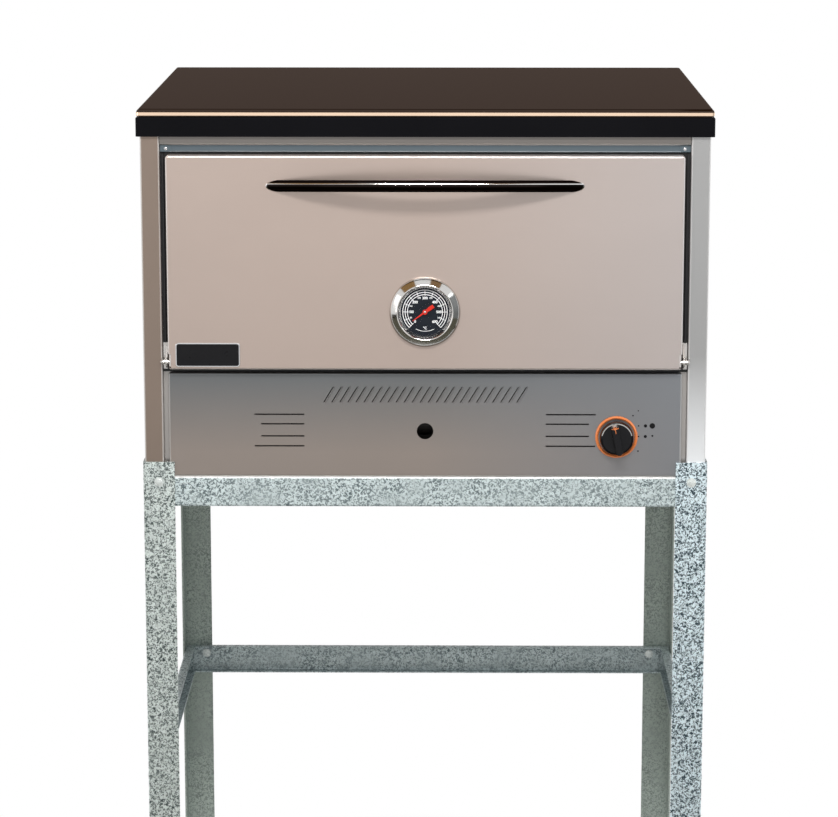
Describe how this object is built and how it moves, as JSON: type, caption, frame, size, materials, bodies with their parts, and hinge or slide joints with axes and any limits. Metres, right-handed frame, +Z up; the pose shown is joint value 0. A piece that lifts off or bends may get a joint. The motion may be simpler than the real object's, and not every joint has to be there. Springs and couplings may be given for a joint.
{
  "type": "pizza oven",
  "caption": "Free-standing gas deck oven for pizza: satin steel body, black lid, drop-down door with bowed handle and thermometer, gas knob, galvanised angle stand.",
  "frame": {"origin": "centre of the bounding box's base, on the floor under the oven", "axes": "+Z up, -Y out of the door towards the cook, +X to the cook's right"},
  "size_m": [0.684, 0.635, 1.2255],
  "materials": {
    "galvanised": "spangled zinc coat",
    "satin_steel": "smooth satin stainless",
    "liner_steel": "plain dull steel",
    "black_enamel": "gloss black enamel",
    "lid_gloss": "dark mirror-bright lid",
    "black_chrome": "dark chrome",
    "chrome": "bright",
    "brass": "plain",
    "burner_iron": "dark",
    "mineral_wool": "fibrous",
    "stone": "matte",
    "dial": "matte black",
    "needle": "matte orange-red",
    "glass": "clear",
    "knob_plastic": "gloss black",
    "ring_orange": "gloss orange"
  },
  "bodies": {
    "oven_body": {"baking_stone": "stone", "base_pan": "liner_steel", "brace_left": "galvanised", "brace_rear": "galvanised", "brace_right": "galvanised", "burner_arm_left": "burner_iron", "burner_arm_right": "burner_iron", "burner_cross_tube": "burner_iron", "control_panel": "satin_steel", "gas_inlet": "brass", "gas_pipe": "brass", "gas_valve": "brass", "header": "satin_steel", "heat_deflector": "liner_steel", "hinge_ear_left": "liner_steel", "hinge_ear_right": "liner_steel", "hinge_pin_left": "liner_steel", "hinge_pin_right": "liner_steel", "injector": "brass", "knob_ring": "ring_orange", "leg_front_left": "galvanised", "leg_front_right": "galvanised", "leg_rear_left": "galvanised", "leg_rear_right": "galvanised", "lid_pan": "black_enamel", "lid_plate": "lid_gloss", "liner_back": "liner_steel", "liner_left": "liner_steel", "liner_right": "liner_steel", "liner_roof": "liner_steel", "mixing_tube": "burner_iron", "mouth_frame": "satin_steel", "rail_front": "galvanised", "rail_left": "galvanised", "rail_rear": "galvanised", "rail_right": "galvanised", "rear_panel": "satin_steel", "side_panel_left": "satin_steel", "side_panel_right": "satin_steel", "wire_rack": "chrome", "wool_back": "mineral_wool", "wool_left": "mineral_wool", "wool_right": "mineral_wool", "wool_roof": "mineral_wool"},
    "door": {"door_skin": "satin_steel", "door_liner": "liner_steel", "door_wool": "mineral_wool", "door_handle": "black_chrome", "hinge_plate_left": "liner_steel", "hinge_plate_right": "liner_steel", "thermometer_case": "chrome", "thermometer_dial": "dial", "thermometer_glass": "glass", "thermometer_stem": "liner_steel", "thermometer_nut": "brass"},
    "needle": {"thermometer_needle": "needle"},
    "plunger": {"valve_plunger": "liner_steel"},
    "knob": {"knob": "knob_plastic", "valve_spindle": "liner_steel"}
  },
  "joints": [
    {"name": "door_hinge", "type": "hinge", "parent": "oven_body", "child": "door", "pos_m": [0, -0.2665, 0.9234], "axis": [1, 0, 0], "range_deg": [0, 90]},
    {"name": "needle_turn", "type": "hinge", "parent": "door", "child": "needle", "pos_m": [0, -0.2768, 0.986], "axis": [0, 1, 0], "range_deg": [-9, 261]},
    {"name": "knob_push", "type": "slide", "parent": "oven_body", "child": "plunger", "axis": [0, 1, 0], "range_m": [0, 0.005], "stiffness_N_per_m": 1000, "springref_m": -0.002},
    {"name": "knob_turn", "type": "hinge", "parent": "plunger", "child": "knob", "pos_m": [0.23, -0.2665, 0.8315], "axis": [0, -1, 0], "range_deg": [0, 210]}
  ]
}
